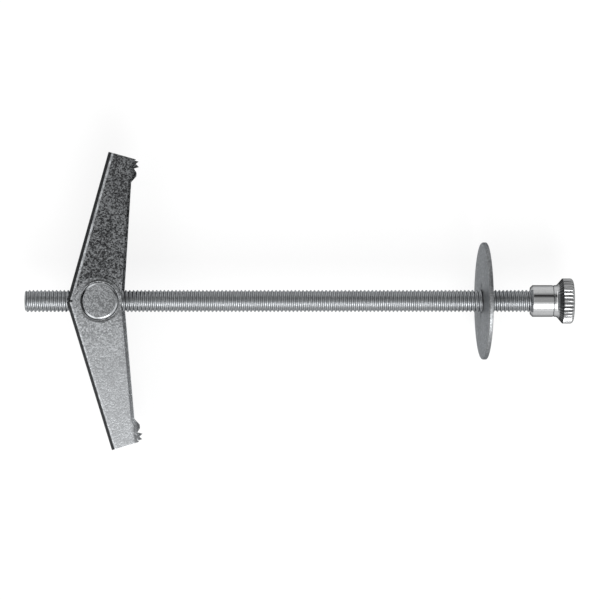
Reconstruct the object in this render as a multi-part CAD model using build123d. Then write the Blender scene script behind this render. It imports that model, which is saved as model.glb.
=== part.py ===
from build123d import *
import math
import os

# Spring toggle bolt: a threaded rod carries a cross dowel with two spring-loaded U-channel wings,
# a loose washer and a knurled nut.
# Millimetres. +X runs along the rod from its free end to the nut, +Z is up, and the wings spread
# along Y. The origin is the centre of the rod's free end.

# Rod, metric thread M4
rod_diameter = 4.0
rod_length = 95.0
rod_end_chamfer = 0.35
thread_clearance = 0.05
rod_radius = rod_diameter / 2

# Cross dowel that the rod is screwed through; its ends are the hinge pin of both wings
pivot_x = 13.8
dowel_diameter = 6.6
dowel_end_chamfer = 0.35
dowel_stands_proud = 0.25
dowel_radius = dowel_diameter / 2

# Double torsion spring
wire_diameter = 0.45
wire_sides = 10
coil_clearance = 0.15
coil_side_clearance = 0.07
coil_wire_gap = 0.02
spring_leg_reach = 9.0
spring_corner_radius = 0.8
spring_web_clearance = 0.05

# Wings, stamped from sheet; "s" runs from the pivot to the tip, "h" from the pivot to the web
sheet = 0.6
bend_radius = 0.3
wing_length = 26.35
web_offset = 5.79
edge_offset = 3.82
edge_taper = 12.1
ear_rim = 0.65
hinge_clearance = 0.08
nest_clearance = 0.08
stop_clearance = 0.06
upper_lean = 15.6
lower_lean = 17.0

# Bite teeth at the free edges: (distance back from the tip, height above the free edge)
tooth_ramp_start = 4.0
tooth_outline = [(2.7, 0.9), (2.05, 0.9), (1.45, 0.35), (0.95, 1.3), (0.55, 0.65), (0.0, 1.15)]

# Knurled nut, placed by how far the rod is screwed into it; lengths run from its barrel's face
thread_engaged = 3.25
nut_x = rod_length - thread_engaged
barrel_diameter = 5.76
barrel_length = 4.75
barrel_chamfer = 0.4
barrel_groove_from_flank = 0.58
barrel_groove_width = 0.3
barrel_groove_depth = 0.12
flank_length = 1.1
flank_fillet_radius = 0.8
collar_diameter = 8.25
collar_width = 1.9
collar_edge_radius = 0.6
knurl_ridges = 34
knurl_depth = 0.22
bore_countersink = 0.35

# Washer, loose on the rod in front of the nut, so that it leans back by a few degrees
washer_from_nut = 8.05
washer_lean = 3.2
washer_diameter = 21.3
washer_thickness = 0.8
washer_hole_clearance = 0.15
washer_edge_break = 0.15

# The nut's and the rod's radii
bore_radius = rod_radius + thread_clearance
barrel_radius = barrel_diameter / 2
collar_radius = collar_diameter / 2

# Directions of the open wings, in degrees from the rod
upper_direction = 90 - upper_lean
lower_direction = 90 - lower_lean

# The spring's coil, one turn and a bit round each end of the dowel, and its straight legs,
# which leave the coil at a slant so that their ends lie against the inside of the webs
wire_radius = wire_diameter / 2
coil_radius = dowel_radius + coil_clearance + wire_radius
coil_pitch = wire_diameter + coil_wire_gap
leg_end_height = web_offset - sheet - spring_web_clearance - wire_radius
leg_end_distance = math.hypot(spring_leg_reach, leg_end_height)
leg_length = math.sqrt(leg_end_distance**2 - coil_radius**2)
leg_slant = math.degrees(
    math.acos(coil_radius / leg_end_distance) - math.atan2(spring_leg_reach, leg_end_height)
)
coil_start_angle = upper_direction + 90 + leg_slant
coil_end_angle = 360 - (lower_direction + 90 + leg_slant)
coil_turns = 1 + (coil_end_angle - coil_start_angle) / 360

# Widths that follow outwards from the rod: coil, inner wing, outer wing
coil_inner_z = rod_radius + coil_side_clearance + wire_radius
coil_outer_z = coil_inner_z + coil_pitch * coil_turns
inner_wing_gap = 2 * (coil_outer_z + wire_radius + coil_side_clearance)
inner_wing_width = inner_wing_gap + 2 * sheet
outer_wing_gap = inner_wing_width + 2 * nest_clearance
outer_wing_width = outer_wing_gap + 2 * sheet


def at_pivot(shape):
    """Carries a shape from the pivot's own frame to its place on the rod."""
    return Pos(pivot_x, 0, 0) * shape


def make_rod():
    rod = Pos(rod_length / 2, 0, 0) * Rot(0, 90, 0) * Cylinder(rod_radius, rod_length)
    return chamfer(rod.edges().filter_by(GeomType.CIRCLE), rod_end_chamfer)


def make_dowel():
    length = outer_wing_width + 2 * dowel_stands_proud
    dowel = Cylinder(dowel_radius, length)
    dowel = chamfer(dowel.edges().filter_by(GeomType.CIRCLE), dowel_end_chamfer)
    cross_hole = Rot(0, 90, 0) * Cylinder(bore_radius, 2 * dowel_diameter)
    return at_pivot(dowel - cross_hole)


def free_edge_height(s):
    """Height of the straight free edge at a distance s from the pivot."""
    taper = math.radians(edge_taper)
    return s * math.tan(taper) - edge_offset / math.cos(taper)


def wing_outline(web_start):
    """Side view of a wing that points along +X with its web on top: a round ear and a tapered blade."""
    hole_radius = dowel_radius + hinge_clearance
    ear_top = web_offset - sheet - bend_radius
    ear_bottom = hole_radius + ear_rim
    ear_radius = (ear_top + ear_bottom) / 2
    ear = Pos(0, ear_top - ear_radius) * Circle(ear_radius)

    ramp_start = wing_length - tooth_ramp_start
    edge = [(0, free_edge_height(0)), (ramp_start, free_edge_height(ramp_start))]
    for back, height in tooth_outline:
        s = wing_length - back
        edge.append((s, free_edge_height(s) - height))
    blade = Polygon(
        *edge,
        (wing_length, web_offset),
        (web_start, web_offset),
        (web_start, ear_top),
        (0, ear_top),
        align=None,
    )
    return ear + blade - Circle(hole_radius)


def make_wing(gap, direction):
    """A U-channel wing in the upper wing's hand, opened to its stop on the rod."""
    width = gap + 2 * sheet
    web_inside = web_offset - sheet
    angle = math.radians(direction)
    stop_height = rod_radius + stop_clearance
    web_start = (stop_height - web_inside * math.cos(angle)) / math.sin(angle)

    length = 2 * wing_length
    depth = 2 * web_offset
    outside = Pos(0, web_offset - depth / 2, 0) * Box(length, depth, width)
    top_edges = outside.edges().filter_by(Axis.X).group_by(Axis.Y)[-1]
    outside = fillet(top_edges, bend_radius + sheet)
    inside = Pos(0, web_inside - depth / 2, 0) * Box(length, depth, gap)
    top_edges = inside.edges().filter_by(Axis.X).group_by(Axis.Y)[-1]
    inside = fillet(top_edges, bend_radius)
    channel = outside - inside

    side = extrude(wing_outline(web_start), amount=width, both=True)
    return Rot(0, 0, direction) * (channel & side)


def make_upper_wing():
    return at_pivot(make_wing(inner_wing_gap, upper_direction))


def make_lower_wing():
    return at_pivot(mirror(make_wing(outer_wing_gap, lower_direction), about=Plane.XZ))


def sweep_wire(path):
    """Spring wire drawn along a path, its round section as a polygon of many sides."""
    section = Plane(origin=path @ 0, z_dir=path % 0) * RegularPolygon(wire_radius, wire_sides)
    return sweep(section, path=path, is_frenet=True)


def make_spring():
    """One wire: free leg, coil, loop across both sides of the rod, coil, free leg."""
    coil = Helix(coil_pitch, coil_pitch * coil_turns, coil_radius)
    coil = Pos(0, 0, coil_inner_z) * Rot(0, 0, coil_start_angle) * coil
    loop_start = coil @ 0
    loop_corner = loop_start - (coil % 0) * leg_length
    across = [loop_start, loop_corner]
    across += [Vector(p.X, p.Y, -p.Z) for p in reversed(across)]
    loop = FilletPolyline(*across, radius=spring_corner_radius)
    free_leg = Line(coil @ 1, coil @ 1 + (coil % 1) * leg_length)

    half = [sweep_wire(coil), sweep_wire(free_leg)]
    other_half = [mirror(piece, about=Plane.XY) for piece in half]
    spring = sweep_wire(loop)
    for piece in half + other_half:
        spring += piece
    return at_pivot(spring)


def make_washer():
    washer = Cylinder(washer_diameter / 2, washer_thickness)
    rim = washer.edges().filter_by(GeomType.CIRCLE).group_by(Axis.Z)[0]
    washer = chamfer(rim, washer_edge_break)
    washer -= Cylinder(rod_radius + washer_hole_clearance, 2 * washer_thickness)
    centre = nut_x - washer_from_nut - washer_thickness / 2
    return Pos(centre, 0, 0) * Rot(0, 90 + washer_lean, 0) * washer


def nut_profile():
    """Half section of the nut above the X axis, from the barrel's face at x = 0."""
    flank_start = barrel_length
    collar_start = flank_start + flank_length
    collar_end = collar_start + collar_width
    groove = flank_start - barrel_groove_from_flank
    outline = [
        (0, bore_radius + bore_countersink),
        (0, barrel_radius - barrel_chamfer),
        (barrel_chamfer, barrel_radius),
        (groove - barrel_groove_width / 2, barrel_radius),
        (groove, barrel_radius - barrel_groove_depth),
        (groove + barrel_groove_width / 2, barrel_radius),
        (flank_start, barrel_radius),
        (collar_start, collar_radius),
        (collar_end, collar_radius),
        (collar_end, bore_radius + bore_countersink),
        (collar_end - bore_countersink, bore_radius),
        (bore_countersink, bore_radius),
    ]
    face = Polygon(*outline, align=None)
    inner_corner = face.vertices().sort_by_distance((flank_start, barrel_radius))[0]
    face = fillet(inner_corner, flank_fillet_radius)
    outer_corner = face.vertices().sort_by_distance((collar_end, collar_radius))[0]
    return fillet(outer_corner, collar_edge_radius)


def knurl_section():
    """End view of the straight knurl: ridges and valleys that alternate round the collar."""
    points = []
    for ridge in range(knurl_ridges):
        for half_step, radius in ((0, collar_radius), (1, collar_radius - knurl_depth)):
            angle = math.pi * (2 * ridge + half_step) / knurl_ridges
            points.append((radius * math.cos(angle), radius * math.sin(angle)))
    return Polygon(*points, align=None)


def make_nut():
    body = revolve(nut_profile(), axis=Axis.X)
    length = barrel_length + flank_length + collar_width
    knurl = Rot(0, 90, 0) * extrude(knurl_section(), amount=length)
    return Pos(nut_x, 0, 0) * (body & knurl)


parts = {
    "threaded_rod": make_rod(),
    "trunnion_nut": make_dowel(),
    "torsion_spring": make_spring(),
    "upper_wing": make_upper_wing(),
    "lower_wing": make_lower_wing(),
    "washer": make_washer(),
    "knurled_nut": make_nut(),
}

os.makedirs("parts", exist_ok=True)
for node, shape in parts.items():
    export_step(shape, f"parts/{node}.step")
    print(node, "volume", round(shape.volume, 2), "box", shape.bounding_box())
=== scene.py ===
import math

import bmesh
import bpy
from mathutils import Matrix, Vector


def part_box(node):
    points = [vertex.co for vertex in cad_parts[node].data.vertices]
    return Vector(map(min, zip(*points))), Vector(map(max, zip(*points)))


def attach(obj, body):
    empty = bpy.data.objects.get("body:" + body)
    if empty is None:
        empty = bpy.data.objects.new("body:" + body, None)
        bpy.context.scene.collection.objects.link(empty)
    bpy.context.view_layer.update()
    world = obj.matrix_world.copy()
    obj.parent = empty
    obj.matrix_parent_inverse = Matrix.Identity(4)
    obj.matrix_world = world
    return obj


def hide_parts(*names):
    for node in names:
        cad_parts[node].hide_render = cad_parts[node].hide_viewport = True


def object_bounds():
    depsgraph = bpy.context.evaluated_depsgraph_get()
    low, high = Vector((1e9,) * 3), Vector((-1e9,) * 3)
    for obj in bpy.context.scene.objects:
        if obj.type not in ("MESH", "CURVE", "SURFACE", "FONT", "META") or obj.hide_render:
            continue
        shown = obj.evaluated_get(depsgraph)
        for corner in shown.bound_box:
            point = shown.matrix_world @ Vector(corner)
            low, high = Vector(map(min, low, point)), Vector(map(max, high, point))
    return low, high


# Spring toggle bolt: an M4 threaded rod carries a cross dowel with two spring-loaded folded wings,
# a large loose washer and a knurled nut. Everything is plated metal.
# Metres. +X runs along the rod, the wings spread along Y, +Z is up.

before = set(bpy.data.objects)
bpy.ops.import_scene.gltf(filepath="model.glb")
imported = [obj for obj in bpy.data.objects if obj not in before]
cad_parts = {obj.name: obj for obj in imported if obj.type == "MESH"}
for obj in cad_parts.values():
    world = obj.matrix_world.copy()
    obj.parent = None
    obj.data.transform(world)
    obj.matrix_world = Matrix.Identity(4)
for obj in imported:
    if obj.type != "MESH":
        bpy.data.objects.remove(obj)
cad_low, cad_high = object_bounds()

MM = 0.001

# Places and overall sizes, from the frame
rod_low, rod_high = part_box("threaded_rod")
dowel_low, dowel_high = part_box("trunnion_nut")
upper_low, upper_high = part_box("upper_wing")
lower_low, lower_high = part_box("lower_wing")
_, washer_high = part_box("washer")
nut_low, nut_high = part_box("knurled_nut")
pivot = (dowel_low + dowel_high) / 2

# Points this near are one point: the first merges a thread's rows where they run out
merge_distance = 1e-7
match_distance = 1e-8

# Thread, metric M4, rolled, so its crests and roots are rounded
rod_radius = rod_high.z
thread_pitch = 0.7 * MM
thread_depth = 0.26 * MM
thread_crest = 0.1 * MM
thread_corner = 0.055 * MM
thread_flank = math.radians(30)
thread_segments = 48
bore_radius = rod_radius + 0.05 * MM
bore_thread_depth = 0.2 * MM
bore_segments = 64

# Cross dowel; its end chamfers reach inwards by one size and down by the other
dowel_radius = (dowel_high.x - dowel_low.x) / 2
dowel_chamfer_in = 0.32 * MM
dowel_chamfer_down = 0.185 * MM
dowel_edge_round = 0.06 * MM
dowel_segments = 128

# Wings, folded from sheet; s runs from the pivot to the tip, h from the pivot to the web
sheet = 0.6 * MM
outer_bend = 0.9 * MM
bend_steps = 8
wing_length = 26.35 * MM
web_offset = 5.79 * MM
edge_offset = 3.82 * MM
edge_taper = math.radians(12.1)
hinge_hole = dowel_radius + 0.08 * MM
ear_rim = 0.65 * MM
ear_top = web_offset - outer_bend
wing_edge_round = 0.06 * MM
hole_edge_round = 0.15 * MM
upper_direction = math.radians(90 - 15.6)
lower_direction = math.radians(90 - 17.0)
upper_width = upper_high.z - upper_low.z
lower_width = lower_high.z - lower_low.z

# Bite teeth: (distance back from the tip, height above the free edge), in millimetres
tooth_ramp_start = 4.0
tooth_outline = [(2.7, 0.9), (2.05, 0.9), (1.45, 0.35), (0.95, 1.3), (0.55, 0.65), (0.0, 1.15)]

# Where a wing ends at the rod: its web stops above it, is cut out to pass beside it, and each wing
# stays a little off the plane in which they would meet
stop_height = rod_radius + 0.03 * MM
rod_notch = rod_radius + 0.2 * MM
half_gap = 0.1 * MM

# Spring wire, coiled outwards from the rod along both ends of the dowel
wire_radius = 0.225 * MM
coil_radius = dowel_radius + 0.15 * MM + wire_radius
coil_inner_z = rod_radius + 0.07 * MM + wire_radius
coil_pitch = 0.47 * MM
coil_steps = 72
leg_reach = 9.0 * MM
leg_height = web_offset - sheet - 0.05 * MM - wire_radius
loop_corner = 0.8 * MM

# Washer, punched from sheet, which leans back on the rod
washer_radius = 10.65 * MM
washer_thickness = 0.8 * MM
washer_lean = math.radians(3.2)
washer_bore = rod_radius + 0.15 * MM
washer_rolled_edge = 0.3 * MM
washer_cut_edge = 0.1 * MM
washer_segments = 192

# Knurled nut, from its barrel's face
barrel_radius = 2.88 * MM
barrel_length = 4.75 * MM
barrel_chamfer = 0.4 * MM
barrel_groove_place = barrel_length - 0.58 * MM
barrel_groove_width = 0.3 * MM
barrel_groove_depth = 0.12 * MM
flank_length = 1.1 * MM
flank_round = 0.8 * MM
collar_radius = nut_high.z
collar_round = 0.6 * MM
bore_countersink = 0.35 * MM

# Straight knurl; a groove reaches to each side of its middle by a share of the pitch
knurl_ridges = 34
knurl_steps = 8
knurl_depth = 0.24 * MM
knurl_groove_share = 0.34

# Camera, straight above the rod's middle; its lens and sensor are in millimetres
camera_place = (49.9 * MM, 0.18 * MM, 430 * MM)
camera_lens = 141.9
camera_sensor = 36


# Outlines

def arc(centre, radius, start, end, steps):
    """Points along an arc in a plane, angles in radians, both ends included."""
    angles = [start + (end - start) * i / steps for i in range(steps + 1)]
    return [(centre[0] + radius * math.cos(a), centre[1] + radius * math.sin(a)) for a in angles]


def round_corner(before, corner, after, radius, steps):
    """The points that replace a corner by an arc that is tangent to its two sides."""
    before, corner, after = Vector(before), Vector(corner), Vector(after)
    to_before = (before - corner).normalized()
    to_after = (after - corner).normalized()
    half = to_before.angle(to_after) / 2
    longest = 0.48 * min((before - corner).length, (after - corner).length)
    reach = min(radius / math.tan(half), longest)
    centre = corner + (to_before + to_after).normalized() * (reach / math.cos(half))
    first = corner + to_before * reach - centre
    last = corner + to_after * reach - centre
    turn = first.angle(last)
    points = []
    for step in range(steps + 1):
        share = step / steps
        near, far = math.sin((1 - share) * turn), math.sin(share * turn)
        points.append(tuple(centre + (first * near + last * far) / math.sin(turn)))
    return points


def rounded_loop(points, radii, steps):
    """A closed outline with every corner rounded by its own radius."""
    loop = []
    for i, radius in enumerate(radii):
        after = points[(i + 1) % len(points)]
        loop += round_corner(points[i - 1], points[i], after, radius, steps)
    return loop


# Meshes and pieces

def add_object(name, data):
    """A new object in the scene."""
    made = bpy.data.objects.new(name, data)
    bpy.context.scene.collection.objects.link(made)
    return made


def make_mesh(name, bm, closed=True):
    """Turns a bmesh into a mesh; a closed one first gets all its faces turned outwards."""
    if closed:
        bmesh.ops.recalc_face_normals(bm, faces=bm.faces)
    mesh = bpy.data.meshes.new(name)
    bm.to_mesh(mesh)
    bm.free()
    return mesh


def add_piece(name, mesh, body, material, replaced=()):
    """Adds a smooth piece that rides on its body and has its finish."""
    piece = add_object(name, mesh)
    mesh.materials.append(material)
    for face in mesh.polygons:
        face.use_smooth = True
    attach(piece, body)
    if replaced:
        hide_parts(*replaced)
    return piece


def mark_sharp(piece, degrees):
    """Shades the edges that turn by more than so many degrees as sharp ones."""
    piece.data.set_sharp_from_angle(angle=math.radians(degrees))


def settle(piece):
    """Applies a piece's modifiers to its mesh."""
    graph = bpy.context.evaluated_depsgraph_get()
    made = bpy.data.meshes.new_from_object(piece.evaluated_get(graph))
    old = piece.data
    piece.modifiers.clear()
    piece.data = made
    bpy.data.meshes.remove(old)
    made.name = piece.name


def carry(bm, turn, place):
    """Turns a bmesh about the Y axis and then moves it to its place."""
    turned = Matrix.Rotation(turn, 3, "Y")
    bmesh.ops.rotate(bm, verts=bm.verts, cent=(0, 0, 0), matrix=turned)
    bmesh.ops.translate(bm, verts=bm.verts, vec=place)


def lathe(bm, profile, segments, radius_at=None, closed=True):
    """Turns an (x, radius) profile round the X axis; an open profile gets flat ends."""
    rings = []
    for x, radius in profile:
        ring = []
        for step in range(segments):
            angle = 2 * math.pi * step / segments
            r = radius_at(radius, angle) if radius_at else radius
            ring.append(bm.verts.new((x, r * math.cos(angle), r * math.sin(angle))))
        rings.append(ring)
    next_rings = rings[1:] + rings[:1] if closed else rings[1:]
    for ring, next_ring in zip(rings, next_rings):
        for i in range(segments):
            j = (i + 1) % segments
            bm.faces.new((ring[i], ring[j], next_ring[j], next_ring[i]))
    if not closed:
        bm.faces.new(rings[0][::-1])
        bm.faces.new(rings[-1])


def thread_surface(bm, start, end, crest, depth, end_radius, segments):
    """A right-handed thread along X that runs out into plain rings of end_radius.

    The depth is below 0 for a thread in a bore, whose roots lie outside its crests.
    """
    root = crest - depth
    drop = math.copysign(thread_corner, depth)
    slope = 2 * thread_corner + (abs(depth) - 2 * thread_corner) * math.tan(thread_flank)
    root_start, root_end = thread_crest + slope, thread_pitch - slope
    profile = [
        (0, crest), (thread_crest, crest),
        (thread_crest + thread_corner, crest - drop), (root_start - thread_corner, root + drop),
        (root_start, root), (root_end, root),
        (root_end + thread_corner, root + drop), (thread_pitch - thread_corner, crest - drop),
    ]
    turns = math.ceil((end - start) / thread_pitch) + 2
    strip = []
    for i in range(turns * segments):
        angle = 2 * math.pi * (i % segments) / segments
        row = []
        for offset, radius in profile:
            x = start + thread_pitch * (i / segments - 1) + offset
            x = min(max(x, start), end)
            r = min(radius, end_radius + min(x - start, end - x))
            row.append(bm.verts.new((x, r * math.cos(angle), r * math.sin(angle))))
        strip.append(row)
    for i in range(len(strip) - segments - 1):
        here = strip[i] + strip[i + segments][:1]
        ahead = strip[i + 1] + strip[i + 1 + segments][:1]
        for j in range(len(profile)):
            bm.faces.new((here[j], ahead[j], ahead[j + 1], here[j + 1]))
    bmesh.ops.remove_doubles(bm, verts=bm.verts, dist=merge_distance)


def ring_at(bm, x, radius):
    """The vertices of the plain ring at x, in order round the axis."""
    def lies_there(vert):
        off = max(abs(vert.co.x - x), abs(vert.co.yz.length - radius))
        return off < match_distance

    found = [vert for vert in bm.verts if lies_there(vert)]
    return sorted(found, key=lambda vert: math.atan2(vert.co.z, vert.co.y))


# Shader nodes; they measure in millimetres

def node(tree, kind, inputs=(), **settings):
    """A node with its settings and its inputs: a plain value is set, a socket is linked."""
    made = tree.nodes.new("ShaderNode" + kind)
    for key, value in settings.items():
        setattr(made, key, value)
    for key, value in dict(inputs).items():
        if isinstance(value, bpy.types.NodeSocket):
            tree.links.new(value, made.inputs[key])
        else:
            made.inputs[key].default_value = value
    return made


def use_group(tree, group, inputs):
    """A shared node group's outputs for these inputs."""
    return node(tree, "Group", inputs, node_tree=group).outputs


def maths(tree, operation, first, second=0.0, clamp=False):
    made = node(tree, "Math", {0: first, 1: second}, operation=operation, use_clamp=clamp)
    return made.outputs[0]


def product(tree, first, *others):
    """All the values multiplied together."""
    for other in others:
        first = maths(tree, "MULTIPLY", first, other)
    return first


def reduced(tree, value, share):
    """A value with a share of it taken away."""
    return product(tree, value, maths(tree, "SUBTRACT", 1.0, share))


def vector_maths(tree, operation, first, second=(0, 0, 0)):
    return node(tree, "VectorMath", {0: first, 1: second}, operation=operation).outputs


def spread(tree, value, low, high, to_low=0.0, to_high=1.0):
    """Maps low..high to to_low..to_high, held at both ends."""
    made = node(tree, "MapRange", {"Value": value, "From Min": low, "From Max": high,
                                   "To Min": to_low, "To Max": to_high})
    return made.outputs[0]


def band(tree, value, start, full, fade, end):
    """Mask between start and end, at its strongest from full to fade."""
    return product(tree, spread(tree, value, start, full), spread(tree, value, fade, end, 1.0, 0.0))


def noise(tree, place, scale, detail=2.0, roughness=0.5):
    made = node(tree, "TexNoise", {"Vector": place, "Scale": scale, "Detail": detail,
                                   "Roughness": roughness})
    return made.outputs[0]


def blend_colours(tree, share, first, second, mode="MIX"):
    made = node(tree, "Mix", {0: share, 6: first, 7: second}, data_type="RGBA", blend_type=mode)
    return made.outputs[2]


def grey(level, warm=-0.03):
    """A nearly neutral metal colour; warm above 0 is yellowish, below 0 bluish."""
    return (level * (1 + warm), level, level * (1 - warm), 1)


# Measures of a point on a piece

def millimetres(tree):
    """The piece's own coordinates, in millimetres."""
    place = node(tree, "TexCoord").outputs["Object"]
    return vector_maths(tree, "MULTIPLY", place, (1 / MM, 1 / MM, 1 / MM))[0]


def coordinate(tree, axis):
    """How far a point lies along X, Y or Z."""
    return node(tree, "SeparateXYZ", {"Vector": millimetres(tree)}).outputs[axis]


def distance_from_rod(tree):
    """How far a point lies from the rod's axis."""
    across = vector_maths(tree, "MULTIPLY", millimetres(tree), (0, 1, 1))[0]
    return vector_maths(tree, "LENGTH", across)["Value"]


def from_pivot(tree):
    """A point's place with the pivot as the origin."""
    return vector_maths(tree, "SUBTRACT", millimetres(tree), pivot / MM)[0]


def distance_from_dowel(tree):
    """How far a point lies from the dowel's axis."""
    across = vector_maths(tree, "MULTIPLY", from_pivot(tree), (1, 1, 0))[0]
    return vector_maths(tree, "LENGTH", across)["Value"]


def wing_axes(direction, side):
    """A wing's own directions: along its blade, and from the pivot to its web."""
    along = Vector((math.cos(direction), side * math.sin(direction), 0))
    to_web = Vector((-math.sin(direction), side * math.cos(direction), 0))
    return along, to_web


def above_fold(tree, direction, side):
    """How far a wing's surface has risen round its fold, from where the flat side ends."""
    _, to_web = wing_axes(direction, side)
    height = vector_maths(tree, "DOT_PRODUCT", from_pivot(tree), to_web)["Value"]
    return maths(tree, "SUBTRACT", height, ear_top / MM)


def beyond_edge(tree, direction, side):
    """How far a wing's surface lies beyond its straight free edge, which only its teeth do."""
    along, to_web = wing_axes(direction, side)
    outward = along * math.sin(edge_taper) - to_web * math.cos(edge_taper)
    reach = vector_maths(tree, "DOT_PRODUCT", from_pivot(tree), outward)["Value"]
    return maths(tree, "SUBTRACT", reach, edge_offset / MM)


def beside_web(tree, half_web):
    """1 on a wing's two sides and folds, 0 on the flat of its web."""
    fade = 0.6
    distance = maths(tree, "ABSOLUTE", coordinate(tree, "Z"))
    return spread(tree, distance, half_web / MM - fade, half_web / MM)


# Node groups that several finishes share

def new_group(name, inputs, outputs):
    """An empty node group with named inputs (name, kind, default) and outputs (name, kind)."""
    group = bpy.data.node_groups.new(name, "ShaderNodeTree")
    for label, kind, default in inputs:
        kind = "NodeSocket" + kind
        socket = group.interface.new_socket(label, in_out="INPUT", socket_type=kind)
        socket.default_value = default
    for label, kind in outputs:
        group.interface.new_socket(label, in_out="OUTPUT", socket_type="NodeSocket" + kind)
    entry = group.nodes.new("NodeGroupInput")
    leave = group.nodes.new("NodeGroupOutput")
    return group, entry.outputs, leave.inputs


def make_plating_grain():
    """Mottled plating: crystals about Grain mm wide, a finer speckle and soft clouds."""
    group, given, result = new_group(
        "plating_grain",
        [("Light", "Color", (0.6, 0.6, 0.6, 1)), ("Dark", "Color", (0.3, 0.3, 0.3, 1)),
         ("Grain", "Float", 0.3), ("Cloud", "Float", 4.0), ("Contrast", "Float", 1.0),
         ("Smooth", "Float", 0.3), ("Rough", "Float", 0.5)],
        [("Color", "Color"), ("Roughness", "Float"), ("Height", "Float")])
    crystal_weight, speckle_weight, cloud_weight = 0.4, 0.5, 0.1
    finer_speckle = 1.2
    light_spots_rarer = 1.8
    place = millimetres(group)
    grain_scale = maths(group, "DIVIDE", 1.0, given["Grain"])
    crystals = node(group, "TexVoronoi", {"Vector": place, "Scale": grain_scale, "Randomness": 1.0})
    crystal = node(group, "SeparateColor", {"Color": crystals.outputs["Color"]}).outputs[0]
    speckle = noise(group, place, product(group, grain_scale, finer_speckle), roughness=0.6)
    speckle = spread(group, speckle, 0.3, 0.7)
    clouds = noise(group, place, maths(group, "DIVIDE", 1.0, given["Cloud"]))
    clouds = spread(group, clouds, 0.35, 0.65)
    mixed = maths(group, "ADD", product(group, crystal, crystal_weight),
                  product(group, speckle, speckle_weight))
    mixed = maths(group, "ADD", mixed, product(group, clouds, cloud_weight))
    swing = product(group, maths(group, "SUBTRACT", mixed, 0.5), given["Contrast"])
    tone = maths(group, "ADD", swing, 0.5, clamp=True)
    lightness = maths(group, "POWER", tone, light_spots_rarer)
    colour = blend_colours(group, lightness, given["Dark"], given["Light"])
    roughness = spread(group, tone, 0.0, 1.0, given["Rough"], given["Smooth"])
    group.links.new(colour, result["Color"])
    group.links.new(roughness, result["Roughness"])
    group.links.new(tone, result["Height"])
    return group


def make_valley_shade():
    """1 at the bottom of a thread or knurl, 0 on its crests and well below them."""
    group, given, result = new_group(
        "valley_shade",
        [("Bottom radius", "Float", 1.6), ("Top radius", "Float", 2.0)], [("Mask", "Float")])
    well_below = 0.15
    radius = distance_from_rod(group)
    depth = spread(group, radius, given["Bottom radius"], given["Top radius"], 1.0, 0.0)
    floor = maths(group, "SUBTRACT", given["Bottom radius"], well_below)
    on_thread = maths(group, "GREATER_THAN", radius, floor)
    group.links.new(product(group, depth, on_thread), result["Mask"])
    return group


def make_turning_marks():
    """Fine rings that a lathe tool leaves, as a height that changes along one axis."""
    group, given, result = new_group(
        "turning_marks",
        [("Along", "Float", 0.0), ("Spacing", "Float", 0.08)], [("Height", "Float")])
    fine = maths(group, "DIVIDE", given["Along"], given["Spacing"])
    line = node(group, "CombineXYZ", {"X": fine}).outputs[0]
    marks = noise(group, line, scale=1.0, detail=3.0, roughness=0.7)
    group.links.new(marks, result["Height"])
    return group


def make_rub_marks():
    """Thin random scratches from handling in three directions, as a mask."""
    group, given, result = new_group(
        "rub_marks",
        [("Length", "Float", 3.0), ("Width", "Float", 0.05), ("Amount", "Float", 0.5)],
        [("Mask", "Float")])
    place = millimetres(group)
    lengthwise = maths(group, "DIVIDE", 1.0, given["Length"])
    widthwise = maths(group, "DIVIDE", 1.0, given["Width"])
    scale = node(group, "CombineXYZ", {"X": lengthwise, "Y": widthwise, "Z": lengthwise}).outputs[0]
    strongest = 0.0
    for turn in (0.4, 1.7, 2.6):
        turned = node(group, "VectorRotate", {"Vector": place, "Angle": turn},
                      rotation_type="Z_AXIS").outputs[0]
        stretched = vector_maths(group, "MULTIPLY", turned, scale)[0]
        lines = spread(group, noise(group, stretched, scale=1.0, detail=1.0), 0.68, 0.74)
        strongest = maths(group, "MAXIMUM", strongest, lines)
    group.links.new(product(group, strongest, given["Amount"]), result["Mask"])
    return group


plating_grain = make_plating_grain()
valley_shade = make_valley_shade()
turning_marks = make_turning_marks()
rub_marks = make_rub_marks()


# Materials

def new_metal(name, edge_tint=0.4):
    """A bare metal shader, whose reflection darkens a little where it turns away; the rest of its
    looks come later.
    """
    material = bpy.data.materials.new(name)
    material.use_nodes = True
    tree = material.node_tree
    shader = tree.nodes["Principled BSDF"]
    shader.inputs["Metallic"].default_value = 1.0
    shader.inputs["Specular Tint"].default_value = grey(edge_tint)
    return material, tree, shader


def bump_into(tree, shader, layers):
    """Chains bumps, each (height, depth in metres), into the shader's normal."""
    inputs = {}
    for height, depth in layers:
        inputs.update({"Height": height, "Distance": depth, "Strength": 1.0})
        inputs["Normal"] = node(tree, "Bump", inputs).outputs[0]
    tree.links.new(inputs["Normal"], shader.inputs["Normal"])


def plated_sheet(name, light, dark, grain, contrast, smooth, rough, bump):
    """Zinc plating on rolled sheet, with a few scratches from handling; gives its colour and grain
    for more.
    """
    material, tree, shader = new_metal(name)
    finish = use_group(tree, plating_grain, {
        "Light": light, "Dark": dark, "Grain": grain, "Cloud": 5.0, "Contrast": contrast,
        "Smooth": smooth, "Rough": rough})
    rubs = use_group(tree, rub_marks, {"Length": 4.0, "Width": 0.06, "Amount": 0.3})["Mask"]
    rubbed_tone, polish = 0.72, 0.15
    colour = blend_colours(tree, rubs, finish["Color"], grey(rubbed_tone))
    roughness = maths(tree, "SUBTRACT", finish["Roughness"], product(tree, rubs, polish))
    tree.links.new(roughness, shader.inputs["Roughness"])
    bump_into(tree, shader, [(finish["Height"], bump)])
    return material, tree, shader, colour, finish["Height"]


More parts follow.
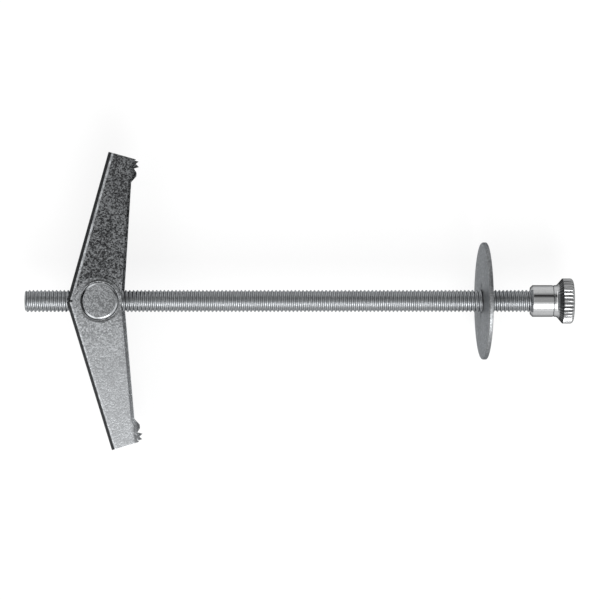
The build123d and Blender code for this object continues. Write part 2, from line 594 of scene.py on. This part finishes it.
def wing_tone(tree, grain, direction, side, tones, mottle, teeth):
    """How light a wing is from place to place, in painted light and shade: tones hold its end past
    the rod, middle and tip.
    """
    past_rod, middle, tip = -5.0, 5.0, 26.0
    mottle_end, mottle_level = 14.0, 0.6
    # Painted shade: a dark ring on the flange round the dowel's rim, stronger away from the rod
    dowel_shade_ring = (3.45, 3.6, 3.8, 4.0)
    dowel_shade_start, dowel_shade_full, least_dowel_shade, most_dowel_shade = 1.5, 3.2, 0.1, 0.65
    # Painted shade on the teeth, which lie beyond the straight free edge
    tooth_start, tooth_full = 0.05, 0.5

    # Painted light: along the blade the tone grows lighter towards -Y, the lit side
    distance = product(tree, coordinate(tree, "Y"), side)
    tone = maths(tree, "ADD", spread(tree, distance, past_rod, middle, tones[0], tones[1]),
                 spread(tree, distance, middle, tip, 0.0, tones[2] - tones[1]))
    mottled = spread(tree, distance, 0.0, mottle_end, mottle, 0.0)
    spots = product(tree, mottled, maths(tree, "SUBTRACT", mottle_level, grain))
    off_rod = maths(tree, "ABSOLUTE", distance)
    # The painted shade ring round the dowel
    dowel_shade = product(tree, band(tree, distance_from_dowel(tree), *dowel_shade_ring),
                    spread(tree, off_rod, dowel_shade_start, dowel_shade_full, least_dowel_shade, most_dowel_shade))
    # Painted shade on the teeth
    edge_shade = spread(tree, beyond_edge(tree, direction, side), tooth_start, tooth_full, 0.0, teeth)
    return reduced(tree, reduced(tree, reduced(tree, tone, spots), dowel_shade), edge_shade)


def wing_plating(name, sheet_finish, direction, side, width, tones, mottle, teeth, fold_highlight_strength,
                 web_tone):
    """A wing's plating: painted light changes its tone along the blade, and each fold has a painted
    highlight beside a painted dark line.

    mottle, teeth and the fold strength say how strong the mottling near the rod, the painted shade
    on the teeth and the painted highlight on the folds are; the web is evened out towards web_tone.
    """
    # Painted highlight where each fold begins, broken up by noise
    fold_highlight_band = (-0.2, -0.05, 0.2, 0.3)
    fold_highlight_tone = 0.6
    # Painted shade: a nearly black line further round each fold
    fold_shade_start, fold_shade_full = 0.2, 0.34
    fold_shade_tone, fold_shade_share = 0.04, 0.92
    web_share = 0.6

    material, tree, shader, colour, grain = plated_sheet(name, **sheet_finish)
    tone = wing_tone(tree, grain, direction, side, tones, mottle, teeth)
    factor = node(tree, "CombineColor", dict.fromkeys(range(3), tone)).outputs[0]
    colour = blend_colours(tree, 1.0, colour, factor, "MULTIPLY")

    risen = above_fold(tree, direction, side)
    broken = spread(tree, noise(tree, millimetres(tree), scale=1.2), 0.4, 0.6, 0.5, 1.0)
    # Painted highlight along the start of the fold
    fold_highlight = product(tree, band(tree, risen, *fold_highlight_band), broken, fold_highlight_strength)
    colour = blend_colours(tree, fold_highlight, colour, grey(fold_highlight_tone))

    beside = beside_web(tree, width / 2 - outer_bend)
    on_web = spread(tree, beside, 0.0, 0.5, web_share, 0.0)
    colour = blend_colours(tree, on_web, colour, grey(web_tone))
    # Painted shade along the fold, where it turns away
    dark = product(tree, spread(tree, risen, fold_shade_start, fold_shade_full), beside, fold_shade_share)
    colour = blend_colours(tree, dark, colour, grey(fold_shade_tone))
    tree.links.new(colour, shader.inputs["Base Color"])
    return material


def washer_plating(name, sheet_finish):
    """The washer's plating: dark in patches round its hole, with painted shade on its rim."""
    # Painted shade on the rim and on the outer edge of both faces
    rim_shade_start, rim_shade_full, rim_shade_share, rim_tone = -0.25, -0.05, 0.5, 0.08
    hole_ring = (2.1, 2.3, 2.9, 3.4)
    hole_share, hole_tone = 0.7, 0.03

    material, tree, shader, colour, _ = plated_sheet(name, **sheet_finish)
    radius = distance_from_rod(tree)
    # Painted shade on the rim
    from_rim = maths(tree, "SUBTRACT", radius, washer_radius / MM)
    edge_shade = spread(tree, from_rim, rim_shade_start, rim_shade_full, 0.0, rim_shade_share)
    colour = blend_colours(tree, edge_shade, colour, grey(rim_tone))
    patches = spread(tree, noise(tree, millimetres(tree), scale=0.9), 0.45, 0.6)
    share = product(tree, band(tree, radius, *hole_ring), patches, hole_share)
    colour = blend_colours(tree, share, colour, grey(hole_tone))
    tree.links.new(colour, shader.inputs["Base Color"])
    return material


def plated_turned(name, light, dark, smooth, rough, marks, contrast=1.0, along="X", edge_tint=0.4,
                  valleys=None, shade_band=None, rim=None):
    """Plating on a round part, with turning marks of a depth in metres along one of its axes.

    valleys (bottom radius, top radius, darkness) darkens a thread or knurl, and the next (start,
    end, darkness) paints shade, a dark band along X; rim is the radius where the dowel's end is
    worn smooth.
    """
    valley_tone, valley_roughness = 0.04, 0.2
    shade_band_tone, shade_band_fade_in, shade_band_fade_out = 0.02, 0.2, 0.1
    rim_tone, rim_fade, rim_polish = 0.38, 0.08, 0.5
    mark_spacing, grain_depth = 0.06, 0.002 * MM

    material, tree, shader = new_metal(name, edge_tint)
    finish = use_group(tree, plating_grain, {
        "Light": light, "Dark": dark, "Grain": 0.22, "Cloud": 3.0, "Contrast": contrast,
        "Smooth": smooth, "Rough": rough})
    colour = finish["Color"]
    roughness = finish["Roughness"]
    if valleys:
        bottom, top, darkness = valleys
        shade = use_group(tree, valley_shade, {"Bottom radius": bottom, "Top radius": top})["Mask"]
        colour = blend_colours(tree, product(tree, shade, darkness), colour, grey(valley_tone))
        roughness = maths(tree, "ADD", roughness, product(tree, shade, valley_roughness))
    # Painted shade: a dark band along X
    if shade_band:
        start, end, darkness = shade_band
        full, fade = start + shade_band_fade_in, end - shade_band_fade_out
        share = product(tree, band(tree, coordinate(tree, "X"), start, full, fade, end), darkness)
        colour = blend_colours(tree, share, colour, grey(shade_band_tone))
    if rim:
        worn = spread(tree, distance_from_dowel(tree), rim - rim_fade, rim)
        colour = blend_colours(tree, worn, colour, grey(rim_tone))
        roughness = reduced(tree, roughness, product(tree, worn, rim_polish))
    tree.links.new(colour, shader.inputs["Base Color"])
    tree.links.new(roughness, shader.inputs["Roughness"])
    place = coordinate(tree, along)
    rings = use_group(tree, turning_marks, {"Along": place, "Spacing": mark_spacing})
    bump_into(tree, shader, [(rings["Height"], marks), (finish["Height"], grain_depth)])
    return material


# Painted light and shade: the upper wing's plating is painted much darker than the lower wing's, a
# shaded and a lit copy of one zinc plating
upper_wing_zinc = wing_plating(
    "upper_wing_zinc",
    dict(light=grey(0.31), dark=grey(0.03), grain=0.3, contrast=2.5, smooth=0.34, rough=0.5,
         bump=0.025 * MM),
    upper_direction, 1, upper_width, tones=(1.9, 0.76, 0.67), mottle=0.0, teeth=0.2, fold_highlight_strength=0.75,
    web_tone=0.11)
lower_wing_zinc = wing_plating(
    "lower_wing_zinc",
    dict(light=grey(0.72), dark=grey(0.4), grain=0.28, contrast=2.3, smooth=0.3, rough=0.45,
         bump=0.012 * MM),
    lower_direction, -1, lower_width, tones=(0.36, 0.68, 0.86), mottle=0.7, teeth=0.6, fold_highlight_strength=0.3,
    web_tone=0.42)
washer_zinc = washer_plating(
    "washer_zinc",
    dict(light=grey(0.5), dark=grey(0.24), grain=0.25, contrast=1.6, smooth=0.38, rough=0.5,
         bump=0.006 * MM))
dowel_zinc = plated_turned(
    "dowel_zinc", grey(0.62), grey(0.18), smooth=0.2, rough=0.32, marks=0.002 * MM, contrast=2.4,
    rim=(dowel_radius - dowel_chamfer_in) / MM)
rod_zinc = plated_turned(
    "rod_zinc", grey(0.49), grey(0.3), smooth=0.18, rough=0.28, marks=0.001 * MM,
    valleys=(1.74, 2.0, 0.2))
# The nut's flank gets a band of painted shade, dark just past where the flank starts
flank_start = (nut_low.x + barrel_length) / MM
nut_nickel = plated_turned(
    "nut_nickel", grey(0.56, -0.01), grey(0.46, -0.01), smooth=0.06, rough=0.12,
    marks=0.0015 * MM, edge_tint=0.05, valleys=(3.9, 4.3, 0.35),
    shade_band=(flank_start + 0.25, flank_start + 1.15, 0.8))
spring_steel = plated_turned(
    "spring_steel", grey(0.3, 0.03), grey(0.16, 0.03), smooth=0.3, rough=0.45, marks=0.001 * MM,
    along="Z")


# Pieces

def make_threaded_rod():
    bm = bmesh.new()
    root = rod_radius - thread_depth
    thread_surface(bm, rod_low.x, rod_high.x, rod_radius, thread_depth, root, thread_segments)
    bm.faces.new(ring_at(bm, rod_low.x, root)[::-1])
    bm.faces.new(ring_at(bm, rod_high.x, root))
    mesh = make_mesh("rod_thread", bm)
    rod = add_piece("rod_thread", mesh, "rod", rod_zinc, ["threaded_rod"])
    mark_sharp(rod, degrees=62)


def make_cross_dowel():
    """The dowel stands on its axis: the lathe's X becomes Z. Then the rod's hole is drilled."""
    bm = bmesh.new()
    half = (dowel_high.z - dowel_low.z) / 2
    corner = (half, dowel_radius - dowel_chamfer_in)
    shoulder = (half - dowel_chamfer_down, dowel_radius)
    end = round_corner((half, 0), corner, shoulder, dowel_edge_round, steps=3)
    end += round_corner(corner, shoulder, (0, dowel_radius), dowel_edge_round, steps=3)
    lathe(bm, end + [(-x, r) for x, r in reversed(end)], dowel_segments, closed=False)
    carry(bm, -math.pi / 2, pivot)
    mesh = make_mesh("cross_dowel", bm)
    dowel = add_piece("cross_dowel", mesh, "toggle", dowel_zinc, ["trunnion_nut"])

    drill = bmesh.new()
    reach = 1.5 * dowel_radius
    lathe(drill, [(-reach, bore_radius), (reach, bore_radius)], bore_segments, closed=False)
    carry(drill, 0, pivot)
    cutter = add_object("drill", make_mesh("drill", drill))
    hole = dowel.modifiers.new("cross hole", "BOOLEAN")
    hole.object = cutter
    hole.solver = "EXACT"
    settle(dowel)
    bpy.data.objects.remove(cutter)
    mark_sharp(dowel, degrees=35)


def free_edge_height(s):
    return s * math.tan(edge_taper) - edge_offset / math.cos(edge_taper)


def flange_outline(direction):
    """One flange, from the rod's middle round the ear and along the free edge to the tip."""
    ear_radius = (ear_top + hinge_hole + ear_rim) / 2
    ear_centre = ear_top - ear_radius
    above_centre = (half_gap - ear_centre * math.cos(direction)) / ear_radius
    middle_angle = math.pi - direction - math.asin(above_centre)

    # The free edge crosses the ear's circle where a quadratic in s is 0
    slope = math.tan(edge_taper)
    drop = free_edge_height(0) - ear_centre
    a, b, c = 1 + slope**2, 2 * slope * drop, drop**2 - ear_radius**2
    meet = (-b + math.sqrt(b * b - 4 * a * c)) / (2 * a)
    meet_angle = math.atan2(free_edge_height(meet) - ear_centre, meet)

    end_angle = 2 * math.pi + meet_angle
    outline = arc((0, ear_centre), ear_radius, middle_angle, end_angle, steps=40)
    for back, height in [(tooth_ramp_start, 0)] + tooth_outline:
        s = wing_length - back * MM
        outline.append((s, free_edge_height(s) - height * MM))
    return outline + [(wing_length, ear_top)]


def weigh_edges(wing, half_width):
    """Says how much each sharp edge is rounded: a punch rolls in a hole's outer edge further."""
    sharp = math.radians(35)
    bm = bmesh.new()
    bm.from_mesh(wing.data)
    weight = bm.edges.layers.float.new("bevel_weight_edge")
    for edge in bm.edges:
        if edge.is_manifold and edge.calc_face_angle() > sharp:
            middle = (edge.verts[0].co + edge.verts[1].co) / 2 - pivot
            at_hole = middle.xy.length < 1.02 * hinge_hole
            outside = abs(middle.z) > half_width - sheet / 2
            edge[weight] = 1 if at_hole and outside else wing_edge_round / hole_edge_round
    bm.to_mesh(wing.data)
    bm.free()


def thicken_sheet(wing, width):
    """Gives a folded surface its sheet's thickness, inwards, and rounds its edges."""
    thicken = wing.modifiers.new("sheet", "SOLIDIFY")
    thicken.thickness = sheet
    thicken.offset = -1
    thicken.use_even_offset = True
    thicken.use_quality_normals = True
    settle(wing)
    weigh_edges(wing, width / 2)
    soften = wing.modifiers.new("edges", "BEVEL")
    soften.width = hole_edge_round
    soften.segments = 3
    soften.limit_method = "WEIGHT"
    settle(wing)
    weigh = wing.modifiers.new("shading", "WEIGHTED_NORMAL")
    weigh.keep_sharp = True
    settle(wing)


def make_wing(name, width, direction, side, body, material, node_name):
    """Cuts the flat blank, in which v runs across the web, and folds it into a channel."""
    half_web = width / 2 - outer_bend
    bend_length = outer_bend * math.pi / 2
    folds = [half_web + bend_length * step / bend_steps for step in range(bend_steps + 1)]
    web_inside = web_offset - sheet
    web_start = (stop_height - web_inside * math.cos(direction)) / math.sin(direction)

    def across(h):
        """How far from the blank's centre line a point of the flange at height h lies."""
        return half_web + bend_length + ear_top - h

    def fold(s, v):
        """Where a point of the blank goes, as (s, h, z)."""
        distance = abs(v)
        hand = math.copysign(1, v)
        if distance <= half_web:
            return s, web_offset, v
        if distance <= half_web + bend_length:
            turn = (distance - half_web) / outer_bend
            z = half_web + outer_bend * math.sin(turn)
            return s, ear_top + outer_bend * math.cos(turn), hand * z
        return s, ear_top - (distance - half_web - bend_length), hand * width / 2

    def at_middle(v):
        """A point of the end that passes beside the rod and faces the other wing."""
        height = fold(0, v)[1] - sheet / 2
        return (half_gap - height * math.cos(direction)) / math.sin(direction), v

    bm = bmesh.new()
    half = [(web_start, rod_notch), at_middle(rod_notch)] + [at_middle(v) for v in folds]
    half += [(s, across(h)) for s, h in flange_outline(direction)]
    loops = [half + [(s, -v) for s, v in reversed(half)]]
    for hand in (1, -1):
        loops.append(arc((0, hand * across(0)), hinge_hole, 0, 2 * math.pi, steps=64)[:-1])
    edges = []
    for loop in loops:
        corners = [bm.verts.new((s, v, 0)) for s, v in loop]
        edges += [bm.edges.new(pair) for pair in zip(corners, corners[1:] + corners[:1])]
    bmesh.ops.triangle_fill(bm, use_beauty=True, edges=edges)
    bmesh.ops.dissolve_limit(bm, angle_limit=0.01, verts=bm.verts, edges=bm.edges)
    for hand in (1, -1):
        for v in folds:
            everything = bm.verts[:] + bm.edges[:] + bm.faces[:]
            bmesh.ops.bisect_plane(bm, geom=everything, dist=match_distance,
                                   plane_co=(0, hand * v, 0), plane_no=(0, 1, 0))

    along, to_web = wing_axes(direction, side)
    for vert in bm.verts:
        s, h, z = fold(vert.co.x, vert.co.y)
        vert.co = pivot + along * s + to_web * h + Vector((0, 0, z))
    bm.normal_update()
    web_face = max(bm.faces, key=lambda face: abs(face.normal.dot(to_web)) * face.calc_area())
    if web_face.normal.dot(to_web) < 0:
        bmesh.ops.reverse_faces(bm, faces=bm.faces)
    mesh = make_mesh(name, bm, closed=False)
    wing = add_piece(name, mesh, body, material, [node_name])
    thicken_sheet(wing, width)


def tube(name, path, radius, body, replaced=()):
    """A round wire that follows a list of points."""
    curve = bpy.data.curves.new(name, "CURVE")
    curve.dimensions = "3D"
    curve.bevel_depth = radius
    curve.bevel_resolution = 3
    curve.use_fill_caps = True
    line = curve.splines.new("POLY")
    line.points.add(len(path) - 1)
    for point, place in zip(line.points, path):
        point.co = (*place, 1)
    guide = add_object(name + "_guide", curve)
    graph = bpy.context.evaluated_depsgraph_get()
    swept = bpy.data.meshes.new_from_object(guide.evaluated_get(graph))
    bpy.data.objects.remove(guide)
    bm = bmesh.new()
    bm.from_mesh(swept)
    bpy.data.meshes.remove(swept)
    bmesh.ops.remove_doubles(bm, verts=bm.verts, dist=match_distance)
    mesh = make_mesh(name, bm)
    wire = add_piece(name, mesh, body, spring_steel, replaced)
    mark_sharp(wire, degrees=40)


def make_spring():
    """The loop follows the upper wing and the legs the lower one; the coils stay on the dowel."""
    leg_distance = math.hypot(leg_reach, leg_height)
    leg_length = math.sqrt(leg_distance**2 - coil_radius**2)
    slant = math.acos(coil_radius / leg_distance) - math.atan2(leg_reach, leg_height)
    first = upper_direction + math.pi / 2 + slant
    last = 2 * math.pi - (lower_direction + math.pi / 2 + slant)
    turns = 1 + (last - first) / (2 * math.pi)
    # The loop and the legs each hold on to a share of the coil, whose own wire is a little thinner
    held = 0.3
    held_steps = 24
    coil_wire = 0.97 * wire_radius

    def on_coil(share, hand):
        angle = first + 2 * math.pi * turns * share
        x, y = coil_radius * math.cos(angle), coil_radius * math.sin(angle)
        return pivot + Vector((x, y, hand * (coil_inner_z + coil_pitch * turns * share)))

    def stretch(start, end, hand, steps):
        return [on_coil(start + (end - start) * i / steps, hand) for i in range(steps + 1)]

    def along_leg(angle, way):
        return Vector((-math.sin(angle), math.cos(angle), 0)) * (way * leg_length)

    arcs = [stretch(0, held, hand, held_steps) for hand in (1, -1)]
    front, back = [coil_part[0] + along_leg(first, -1) for coil_part in arcs]
    bend = round_corner(arcs[0][0], front, back, loop_corner, steps=8)
    bend += round_corner(front, back, arcs[1][0], loop_corner, steps=8)
    loop = arcs[0][::-1] + [Vector(point) for point in bend] + arcs[1]
    tube("spring_loop", loop, wire_radius, "wing_upper", ["torsion_spring"])
    for hand, label in ((1, "front"), (-1, "back")):
        leg = stretch(1 - held, 1, hand, held_steps)
        leg.append(leg[-1] + along_leg(first + 2 * math.pi * turns, 1))
        tube(f"spring_leg_{label}", leg, wire_radius, "wing_lower")
        tube(f"spring_coil_{label}", stretch(0, 1, hand, coil_steps), coil_wire, "toggle")


def make_washer():
    """The side that the punch entered has rolled edges, the other has crisp ones."""
    inner, outer, half = washer_bore, washer_radius, washer_thickness / 2
    corners = [(-half, inner), (-half, outer), (half, outer), (half, inner)]
    radii = [washer_cut_edge, washer_rolled_edge, washer_cut_edge, washer_rolled_edge]
    bm = bmesh.new()
    lathe(bm, rounded_loop(corners, radii, steps=4), washer_segments)
    reach = half * math.cos(washer_lean) + outer * math.sin(washer_lean)
    carry(bm, washer_lean, (washer_high.x - reach, 0, 0))
    mesh = make_mesh("washer_disc", bm)
    washer = add_piece("washer_disc", mesh, "washer_disc", washer_zinc, ["washer"])
    mark_sharp(washer, degrees=30)


def knurled(radius, angle):
    """A radius on the nut, cut down where it reaches into one of the knurl's grooves."""
    phase = angle * knurl_ridges / (2 * math.pi) % 1
    to_groove = min(phase, 1 - phase)
    cut = max(0.0, 1 - to_groove / knurl_groove_share)
    return min(radius, collar_radius - knurl_depth * cut)


def nut_outline(start, end, mouth):
    """The nut's outside from its barrel's face to its collar's, as (x, radius)."""
    collar_start = start + barrel_length + flank_length
    groove = start + barrel_groove_place
    half_groove = barrel_groove_width / 2
    rounded = [
        (start, barrel_radius - barrel_chamfer, 0.06 * MM),
        (start + barrel_chamfer, barrel_radius, 0.1 * MM),
        (groove - half_groove, barrel_radius, 0.03 * MM),
        (groove, barrel_radius - barrel_groove_depth, 0.02 * MM),
        (groove + half_groove, barrel_radius, 0.03 * MM),
        (start + barrel_length, barrel_radius, flank_round),
        (collar_start, collar_radius, 0.12 * MM),
        (end, collar_radius, collar_round),
    ]
    corners = [(start, mouth)] + [(x, r) for x, r, rounding in rounded] + [(end, mouth)]
    outline = corners[:1]
    for before, (x, r, rounding), after in zip(corners, rounded, corners[2:]):
        outline += round_corner(before, (x, r), after, rounding, steps=5)
    return outline + corners[-1:]


def make_knurled_nut():
    """The turned and knurled outside without the bore's plain wall, joined to the bore's thread."""
    start, end = nut_low.x, nut_high.x
    bore_start, bore_end = start + bore_countersink, end - bore_countersink
    outline = nut_outline(start, end, bore_radius + bore_countersink)
    profile = [(bore_start, bore_radius)] + outline + [(bore_end, bore_radius)]
    segments = knurl_ridges * knurl_steps

    def in_bore(face):
        return all(abs(vert.co.yz.length - bore_radius) < merge_distance for vert in face.verts)

    bm = bmesh.new()
    thread_surface(bm, bore_start, bore_end, bore_radius, -bore_thread_depth, bore_radius, segments)
    outside = bmesh.new()
    lathe(outside, profile, segments, knurled)
    wall = [face for face in outside.faces if in_bore(face)]
    bmesh.ops.delete(outside, geom=wall, context="FACES")
    shell = make_mesh("nut_shell", outside, closed=False)
    bm.from_mesh(shell)
    bpy.data.meshes.remove(shell)
    bmesh.ops.remove_doubles(bm, verts=bm.verts, dist=merge_distance)
    mesh = make_mesh("knurled_nut_turned", bm)
    nut = add_piece("knurled_nut_turned", mesh, "nut", nut_nickel, ["knurled_nut"])
    mark_sharp(nut, degrees=30)


make_threaded_rod()
make_cross_dowel()
make_wing("wing_upper_folded", upper_width, upper_direction, 1, "wing_upper", upper_wing_zinc,
          "upper_wing")
make_wing("wing_lower_folded", lower_width, lower_direction, -1, "wing_lower", lower_wing_zinc,
          "lower_wing")
make_spring()
make_washer()
make_knurled_nut()


# Floor, light and camera

def make_floor():
    """A white floor that keeps a soft shadow: mostly its own white, and partly lit."""
    paint_tone, own_white = 0.9, 0.8
    bm = bmesh.new()
    bmesh.ops.create_grid(bm, x_segments=4, y_segments=4, size=3.0)
    bmesh.ops.translate(bm, verts=bm.verts, vec=(pivot.x, 0, cad_low.z))
    mesh = make_mesh("floor", bm, closed=False)
    floor = add_object("floor", mesh)
    material = bpy.data.materials.new("white_floor")
    material.use_nodes = True
    tree = material.node_tree
    tree.nodes.remove(tree.nodes["Principled BSDF"])
    paint = node(tree, "BsdfDiffuse", {"Color": grey(paint_tone, 0)})
    white = node(tree, "Emission", {"Color": grey(1, 0), "Strength": 1.0})
    path = node(tree, "LightPath").outputs
    seen = maths(tree, "MAXIMUM", path["Is Camera Ray"], path["Is Glossy Ray"])
    seen = maths(tree, "MAXIMUM", seen, path["Is Transmission Ray"])
    share = product(tree, seen, own_white)
    mixed = node(tree, "MixShader", {0: share, 1: paint.outputs[0], 2: white.outputs[0]})
    tree.links.new(mixed.outputs[0], tree.nodes["Material Output"].inputs["Surface"])
    mesh.materials.append(material)


def make_world():
    """A soft studio: a bright wall on the -Y side, a grey ceiling, a pale wall on the +Y side.

    A dark gap parts the ceiling from the pale wall. Towards -X hangs a strip light, and beyond it
    that end of the studio is dark.
    """
    # Brightness at so many degrees from straight up, below 0 towards +Y
    levels = [(-180, 0.6), (-90, 0.95), (-71, 0.9), (-62, 0.8), (-54, 0.55), (-47, 0.28),
              (-42, 0.04), (-34, 0.04), (-29, 0.28), (-20, 0.57), (-8, 0.57), (7, 0.57),
              (12, 0.95), (16, 1.4), (180, 1.4)]
    dark_end = (-0.8, -0.72, 0.04, 1.0)
    strip_light = (-0.68, -0.62, -0.35, -0.25)
    horizon_level = 0.92

    world = bpy.data.worlds.new("studio")
    bpy.context.scene.world = world
    world.use_nodes = True
    tree = world.node_tree
    way = node(tree, "TexCoord").outputs["Generated"]
    x, y, z = node(tree, "SeparateXYZ", {"Vector": way}).outputs
    tilt = maths(tree, "ARCTAN2", product(tree, y, -1.0), z)
    panels = node(tree, "ValToRGB", {"Fac": spread(tree, tilt, -math.pi, math.pi)})
    ramp = panels.color_ramp
    for i, (degrees, level) in enumerate(levels):
        place = (degrees + 180) / 360
        stop = ramp.elements[0] if i == 0 else ramp.elements.new(place)
        stop.position = place
        stop.color = grey(level, 0)
    while len(ramp.elements) > len(levels):
        ramp.elements.remove(ramp.elements[-1])
    around = node(tree, "SeparateColor", {"Color": panels.outputs[0]}).outputs[0]
    lit = maths(tree, "ADD", product(tree, around, spread(tree, x, *dark_end)),
                band(tree, x, *strip_light))
    horizon = spread(tree, z, 0.1, 0.2, 1.0, 0.0)
    strength = maths(tree, "ADD", reduced(tree, lit, horizon),
                     product(tree, horizon, horizon_level))
    background = tree.nodes["Background"]
    tree.links.new(strength, background.inputs["Strength"])
    background.inputs["Color"].default_value = grey(1, 0)


def make_key_light():
    """A soft light from above the -Y side, which casts the shadow."""
    place, aim = Vector((0.12, -0.45, 0.5)), Vector((0.05, 0, 0))
    data = bpy.data.lights.new("key", "AREA")
    data.shape = "SQUARE"
    data.size = 0.35
    data.energy = 3.0
    lamp = add_object("key", data)
    lamp.location = place
    lamp.rotation_euler = (aim - place).to_track_quat("-Z", "Y").to_euler()
    lamp.visible_camera = False


def make_camera():
    data = bpy.data.cameras.new("camera")
    data.lens = camera_lens
    data.sensor_width = camera_sensor
    camera = add_object("camera", data)
    camera.location = camera_place
    bpy.context.scene.camera = camera


make_floor()
make_world()
make_key_light()
make_camera()
bpy.context.scene.view_settings.view_transform = "Standard"
